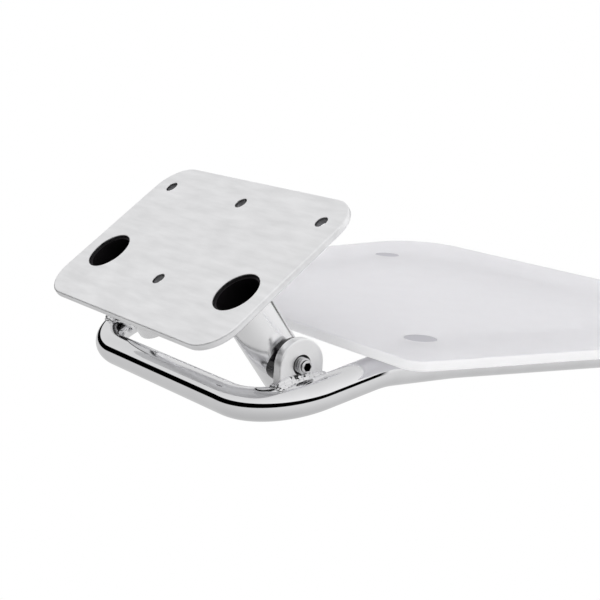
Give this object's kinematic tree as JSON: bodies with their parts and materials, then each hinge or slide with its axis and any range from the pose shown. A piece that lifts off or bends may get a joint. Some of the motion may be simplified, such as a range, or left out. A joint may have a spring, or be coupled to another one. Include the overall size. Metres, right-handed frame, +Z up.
{
  "type": "wall-mounted fold-up shower seat",
  "caption": "Fold-up shower seat: steel wall plate with two short arms, a bent-tube frame on a friction hinge, and a frosted seat panel with flush fixing discs.",
  "frame": {"origin": "on the plate's wall face, level with the two arms and midway between them", "axes": "+X along the hinge axis, +Y out from the wall, +Z up"},
  "size_m": [0.5036, 0.3371, 0.4269],
  "materials": {
    "satin_steel": "satin, brushed along the plate's width, with a bright rounded edge",
    "polished_steel": "mirror-polished stainless tube",
    "lug_steel": "fine satin faces, bright edge",
    "screw_steel": "bright machined thread",
    "disc_steel": "satin, flush with the panel",
    "frosted_acrylic": "frosted translucent white with a very slight lilac cast, eased edges",
    "clear_nylon": "milky clear",
    "black_acetal": "black, slightly glossy"
  },
  "bodies": {
    "wall_side": {"wall_plate": "satin_steel", "arm_tube_left": "polished_steel", "arm_tube_right": "polished_steel", "arm_end_cap_left": "polished_steel", "arm_end_cap_right": "polished_steel", "arm_weld_left": "polished_steel", "arm_weld_right": "polished_steel", "pivot_boss_left": "polished_steel", "pivot_boss_right": "polished_steel", "pivot_bush_left": "black_acetal", "pivot_bush_right": "black_acetal"},
    "seat": {"frame_rear_bow": "polished_steel", "frame_side_rail_left": "polished_steel", "frame_side_rail_right": "polished_steel", "frame_front_bow": "polished_steel", "hinge_lug_left": "lug_steel", "hinge_lug_right": "lug_steel", "thrust_washer_left": "polished_steel", "thrust_washer_right": "polished_steel", "pivot_screw_left": "screw_steel", "pivot_screw_right": "screw_steel", "seat_panel": "frosted_acrylic", "fixing_discs": "disc_steel", "panel_sleeves": "clear_nylon", "saddle_washers": "clear_nylon", "threaded_inserts": "screw_steel"}
  },
  "joints": [
    {"name": "seat_fold", "type": "hinge", "parent": "wall_side", "child": "seat", "pos_m": [0, 0.0635, 0], "axis": [1, 0, 0], "range_deg": [-52, 38]}
  ]
}
